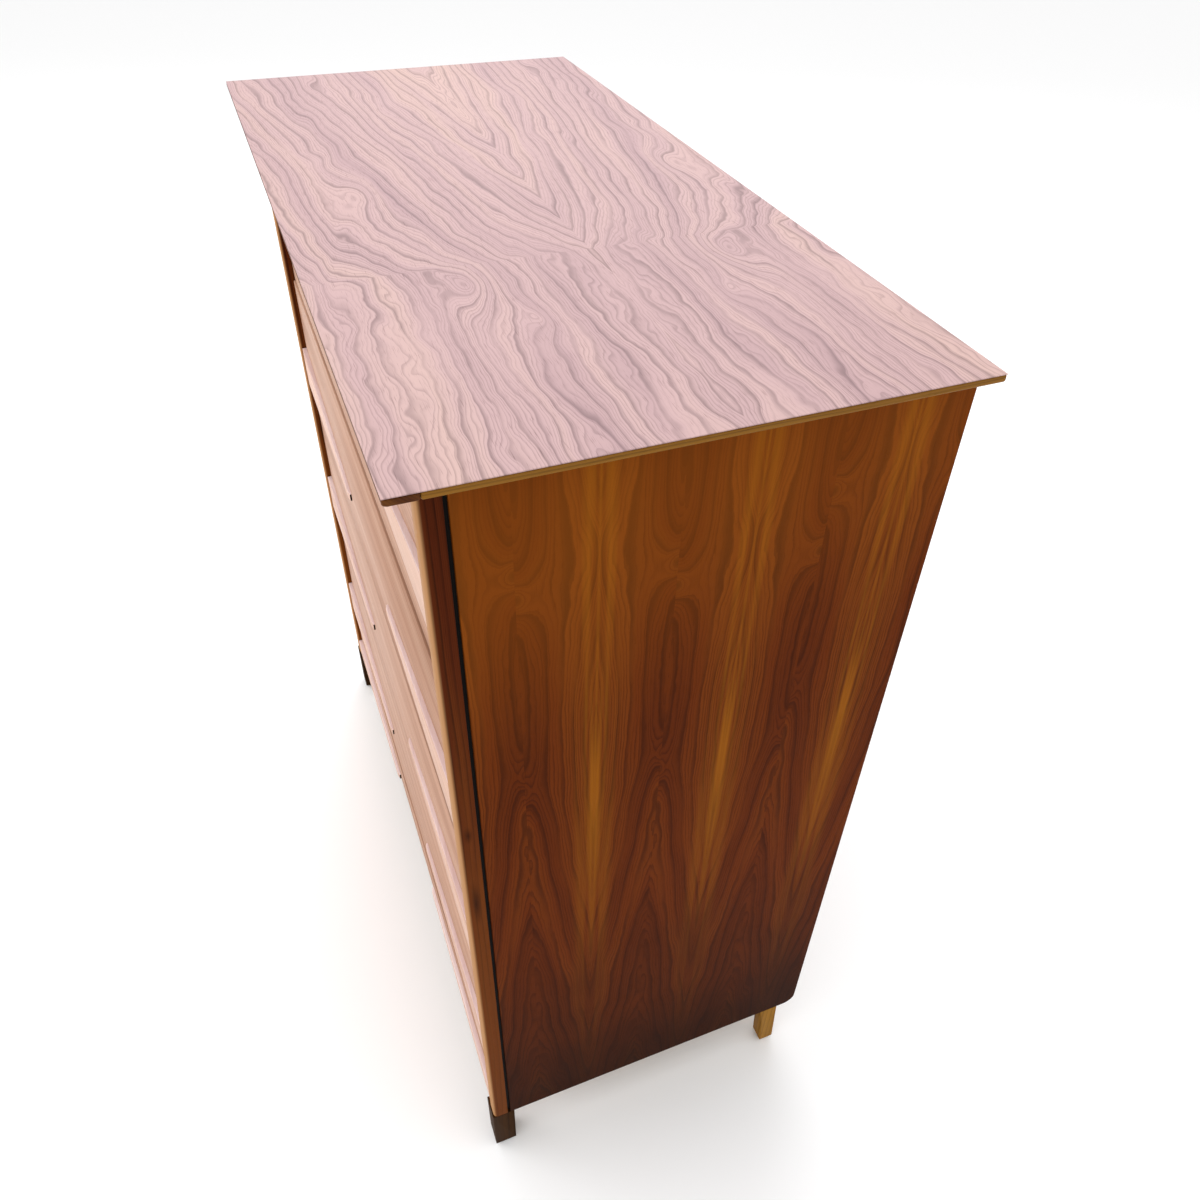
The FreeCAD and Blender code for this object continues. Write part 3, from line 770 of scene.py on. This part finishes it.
@dataclass
class Case:
    """Side panels, posts, reveals, base rail and the unseen boards."""

    half: float = 0.456
    panel: float = 0.018
    leg: float = LEG
    top: float = 1.062
    panel_front: float = -0.1835
    back: float = 0.2285
    corner: float = 0.016
    post_front: float = -0.205
    post_back: float = -0.187
    post_width: float = 0.020
    post_end: float = 0.002
    inner_turn: tuple[tuple[float, float], ...] = ((0.0, 0.003), (0.0009, 0.0009), (0.003, 0.0))
    outer_turn: tuple[tuple[float, float], ...] = ((0.0045, 0.0), (0.0014, 0.0013), (0.0, 0.0042))

    def make(self, shop: Workshop) -> None:
        """Builds what shows and dresses what doesn't.

        Args:
            shop: Makes and dresses the pieces.
        """
        for side in Side:
            self.make_panel(shop, side)
            self.make_post(shop, side)
            shop.dress(f"reveal_strip_{side.label}", "reveal_black", 0)
            shop.dress(f"side_guides_{side.label}", "guide_wood", 0)
        for node in ("top_rail_front", "top_rail_back", "divider_1", "divider_2", "divider_3", "bottom_board",
                     "base_rail_back", "corner_blocks"):
            shop.dress(node, "secondary_wood")
        shop.dress("base_rail", "walnut_front", 0.0012)
        shop.dress("back_panel", "back_board", 0)
        shop.dress("center_guides", "guide_wood")
        shop.dress("foot_dowels", "guide_wood", 0)
        for node in ("top_screws", "back_screws"):
            shop.dress(node, "screw_steel", 0)

    def make_panel(self, shop: Workshop, side: Side) -> None:
        """A side panel: its outline in Y and Z, with a quarter round at the lower back, between two faces.

        Args:
            shop: Makes and dresses the piece.
            side: The half of the chest.
        """
        turn = np.linspace(-math.pi / 2, 0, 13)
        round_y = self.back - self.corner + self.corner * np.cos(turn)
        round_z = self.leg + self.corner + self.corner * np.sin(turn)
        outline = [(self.panel_front, self.leg), *zip(round_y, round_z), (self.back, self.top),
                   (self.panel_front, self.top)]
        outer = np.array([(self.half, y, z) for y, z in outline])
        inner = outer - (self.panel, 0, 0)
        mesh = sweep_mesh(f"panel {side.label}", mirrored(np.stack([inner, outer]), side))
        nodes = [f"side_panel_{side.label}"]
        shop.piece(f"side_leaf_{side.label}", mesh, "walnut_side", CASE, nodes, bevel=0.0008)

    def make_post(self, shop: Workshop, side: Side) -> None:
        """A front post, whose front edges are rounded more than its back edges.

        Each turn is a list of offsets from a front corner, in X and Y.

        Args:
            shop: Makes and dresses the piece.
            side: The half of the chest.
        """
        inner = self.half - self.post_width
        outline = [(inner, self.post_back)]
        outline += [(inner + x, self.post_front + y) for x, y in self.inner_turn]
        outline += [(self.half - x, self.post_front + y) for x, y in self.outer_turn]
        outline += [(self.half, self.post_back)]
        heights = (self.leg, self.leg + self.post_end, self.top)
        rings = np.array([[(x, y, z) for x, y in outline] for z in heights])
        mesh = sweep_mesh(f"post {side.label}", mirrored(rings, side))
        nodes = [f"front_post_{side.label}"]
        shop.piece(f"post_{side.label}", mesh, "walnut_post", CASE, nodes, bevel=0.0006)


@dataclass
class Wing:
    """A sculpted wing: a low nose near the middle that sweeps up and out to the post."""

    face: float
    bottom: float
    tall: float
    inner: float = 0.113
    outer: float = 0.435
    nose: float = 0.010
    proud: float = 0.004
    outer_proud: float = 0.0063
    nose_round: float = 0.0016
    nose_share: float = 0.55
    soft: float = 0.0013
    steps: int = 48

    def rings(self) -> np.ndarray:
        """Cross-sections from nose to post.

        Height and depth grow in a straight line with the share of the reach.  At the nose the depth swells
        from its first share to all of it along a quarter of an ellipse.  Each section is a rectangle against
        the face, with both front edges turned in a quarter circle.

        Returns:
            Array of shape (steps, points in a section, 3).
        """
        share = np.linspace(0, 1, self.steps)
        x = self.inner + (self.outer - self.inner) * share
        high = self.bottom + self.nose + (self.tall - self.nose) * share
        depth = self.proud + (self.outer_proud - self.proud) * share
        start = np.clip(share * (self.outer - self.inner) / self.nose_round, 0, 1)
        swell = self.nose_share + (1 - self.nose_share) * np.sqrt(1 - (1 - start) ** 2)
        depth = depth * swell
        front = self.face - depth
        soft = np.minimum(self.soft, depth * 0.45)
        turn = np.linspace(0, math.pi / 2, 5)
        under = [(front + soft - soft * np.sin(a), self.bottom + soft - soft * np.cos(a)) for a in turn]
        over = [(front + soft - soft * np.cos(a), high - soft + soft * np.sin(a)) for a in turn]
        back = np.full_like(x, self.face)
        section = [(back, np.full_like(x, self.bottom)), *under, *over, (back, high)]
        return np.stack([np.stack([x, y, z], axis=-1) for y, z in section], axis=1)

    def mesh(self, name: str, side: Side) -> bpy.types.Mesh:
        """The wing's mesh on one side.

        Args:
            name: Name of the mesh.
            side: The half of the chest.

        Returns:
            The mesh, smooth but for its sharp edges.
        """
        made = sweep_mesh(name, mirrored(self.rings(), side))
        for polygon in made.polygons:
            polygon.use_smooth = True
        made.set_sharp_from_angle(angle=math.radians(32))
        return made

    def trim(self, shop: Workshop, made: bpy.types.Object) -> None:
        """Gives the nose its end grain, darkened to near black as painted shade, and the ledge a paler finish
        that is a painted sheen highlight.

        Args:
            shop: Holds the finishes.
            made: The wing.
        """
        ledge, end = 1, 2
        made.data.materials.append(shop.finish("walnut_ledge_sheen"))
        made.data.materials.append(shop.finish("walnut_end_grain_shade"))
        nose = self.inner + self.nose_round * 0.75
        for polygon in made.data.polygons:
            # Noses get the end grain with painted shade, ledges the painted sheen highlight.
            if abs(polygon.center.x) < nose and abs(polygon.normal.x) > 0.5:
                polygon.material_index = end
            elif polygon.normal.z > 0.6:
                polygon.material_index = ledge


@dataclass
class Drawer:
    """One drawer: front with finger coves, two wings, and its box.  Drawer 1 is the highest."""

    number: int
    wing_bottom: float = 0.065
    wing_tall: float = 0.060

    @property
    def body(self) -> str:
        """The drawer's CAD body."""
        return f"drawer_{self.number}"

    @property
    def low(self) -> float:
        """The height of the gap under the drawer."""
        return LOWEST_GAP + (len(DRAWERS) - self.number) * PITCH

    @property
    def face(self) -> float:
        """The Y of the front's face."""
        return FACE + TOP_DRAWER_SETBACK if self.number == DRAWERS[0] else FACE

    def make(self, shop: Workshop) -> None:
        """Builds the wings and dresses front and box.

        Args:
            shop: Makes and dresses the pieces.
        """
        wing = Wing(self.face, self.low + self.wing_bottom, self.wing_tall)
        for side in Side:
            mesh = wing.mesh(f"wing {self.number} {side.label}", side)
            nodes = [f"{self.body}_pulls"]
            made = shop.piece(f"{self.body}_wing_{side.label}", mesh, "walnut_pull", self.body, nodes)
            wing.trim(shop, made)
        shop.dress(f"{self.body}_front", "walnut_front", 0.0010)
        for part in ("side_left", "side_right", "back"):
            shop.dress(f"{self.body}_{part}", "drawer_wood", 0.0008)
        shop.dress(f"{self.body}_bottom", "drawer_ply", 0)
        shop.dress(f"{self.body}_runner", "guide_wood")


@dataclass
class BaseWings:
    """The wings on the base rail, which repeat the drawers' at a lower height."""

    face: float = -0.1977
    bottom: float = LEG + 0.002
    tall: float = 0.030

    def make(self, shop: Workshop) -> None:
        """Builds both wings.

        Args:
            shop: Makes and dresses the pieces.
        """
        wing = Wing(self.face, self.bottom, self.tall)
        for side in Side:
            mesh = wing.mesh(f"base wing {side.label}", side)
            made = shop.piece(f"base_wing_{side.label}", mesh, "walnut_pull", CASE, ["base_rail_wings"])
            wing.trim(shop, made)


@dataclass
class Feet:
    """Dresses the four feet."""

    def make(self, shop: Workshop) -> None:
        """Front feet are painted dark as shade, back feet painted golden as light; both are the same wood."""
        for side in Side:
            shop.dress(f"foot_front_{side.label}", "walnut_foot_front", 0.0012)
            shop.dress(f"foot_back_{side.label}", "walnut_foot_back", 0.0012)


# Studio -------------------------------------------------------------------------------------------
@dataclass(frozen=True)
class Lamp:
    """A soft rectangular lamp that faces a point."""

    name: str
    place: Point
    aim: Point
    size: tuple[float, float]
    power: float
    colour: Colour = (1.0, 1.0, 1.0)

    def make(self) -> None:
        """Adds the lamp."""
        data = bpy.data.lights.new(self.name, "AREA")
        data.shape = "RECTANGLE"
        data.size, data.size_y = self.size
        data.energy = self.power
        data.color = self.colour
        lamp = bpy.data.objects.new(self.name, data)
        lamp.location = self.place
        lamp.rotation_euler = (Vector(self.aim) - Vector(self.place)).to_track_quat("-Z", "Y").to_euler()
        bpy.context.scene.collection.objects.link(lamp)


@dataclass
class Studio:
    """Pale floor, white background, lamps and camera."""

    place: Point = (0.9657, -0.2840, 1.4263)
    turn: Point = (1.938, 1.335, -0.589)
    lens: float = 29.505
    shift: tuple[float, float] = (-0.004, -0.0172)
    lamps: tuple[Lamp, ...] = (
        Lamp("window", (-2.4, 1.0, 3.0), (0, 0, 0.8), (2.6, 2.0), 42, (0.96, 0.95, 1.0)),
        Lamp("front", (-1.0, -3.0, 1.8), (0, 0, 0.5), (2.4, 1.8), 45, (1.0, 0.97, 0.97)),
        Lamp("overhead", (0.0, 0.0, 4.2), (0, 0, 0), (4.0, 4.0), 45),
    )

    def make(self) -> None:
        """Builds the studio."""
        bpy.context.scene.view_settings.view_transform = "Standard"
        self.make_floor()
        self.make_world()
        for lamp in self.lamps:
            lamp.make()
        self.make_camera()

    def make_floor(self) -> None:
        """A wide pale floor, not part of the chest."""
        mesh = bpy.data.meshes.new("floor")
        reach = 14.0
        ring = [(-reach, -reach, 0), (reach, -reach, 0), (reach, reach, 0), (-reach, reach, 0)]
        mesh.from_pydata(ring, [], [(0, 1, 2, 3)])
        g = Graph.new("floor")
        g.shader.inputs["Base Color"].default_value = (0.94, 0.94, 0.94, 1)
        g.shader.inputs["Roughness"].default_value = 0.9
        mesh.materials.append(g.material)
        floor = bpy.data.objects.new("floor", mesh)
        bpy.context.scene.collection.objects.link(floor)

    def make_world(self) -> None:
        """A plain white surround of strength 1."""
        world = bpy.data.worlds.new("studio")
        world.use_nodes = True
        bpy.context.scene.world = world
        sky = world.node_tree.nodes["Background"]
        sky.inputs[0].default_value = (1.0, 1.0, 1.0, 1.0)
        sky.inputs[1].default_value = 1.0

    def make_camera(self) -> None:
        """The camera, turned by the axis-angle of the row frame's turn into its own."""
        vector = np.array(self.turn)
        angle = float(np.linalg.norm(vector))
        into = np.array(Matrix.Rotation(angle, 3, Vector(vector / angle)))
        columns = np.array([into[0], -into[1], -into[2]]).T
        data = bpy.data.cameras.new("camera")
        data.lens = self.lens
        data.sensor_width = 36.0
        data.shift_x, data.shift_y = self.shift
        data.clip_start, data.clip_end = 0.02, 60.0
        camera = bpy.data.objects.new("camera", data)
        camera.matrix_world = Matrix.Translation(Vector(self.place)) @ Matrix(columns.tolist()).to_4x4()
        bpy.context.scene.collection.objects.link(camera)
        bpy.context.scene.camera = camera


def main() -> None:
    """Builds the chest and its studio."""
    logging.basicConfig(level=logging.INFO, format="%(message)s")
    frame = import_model()
    shop = Workshop(frame)
    Top().make(shop)
    Case().make(shop)
    for number in DRAWERS:
        Drawer(number).make(shop)
    BaseWings().make(shop)
    Feet().make(shop)
    Studio().make()


if __name__ == "__main__":
    main()
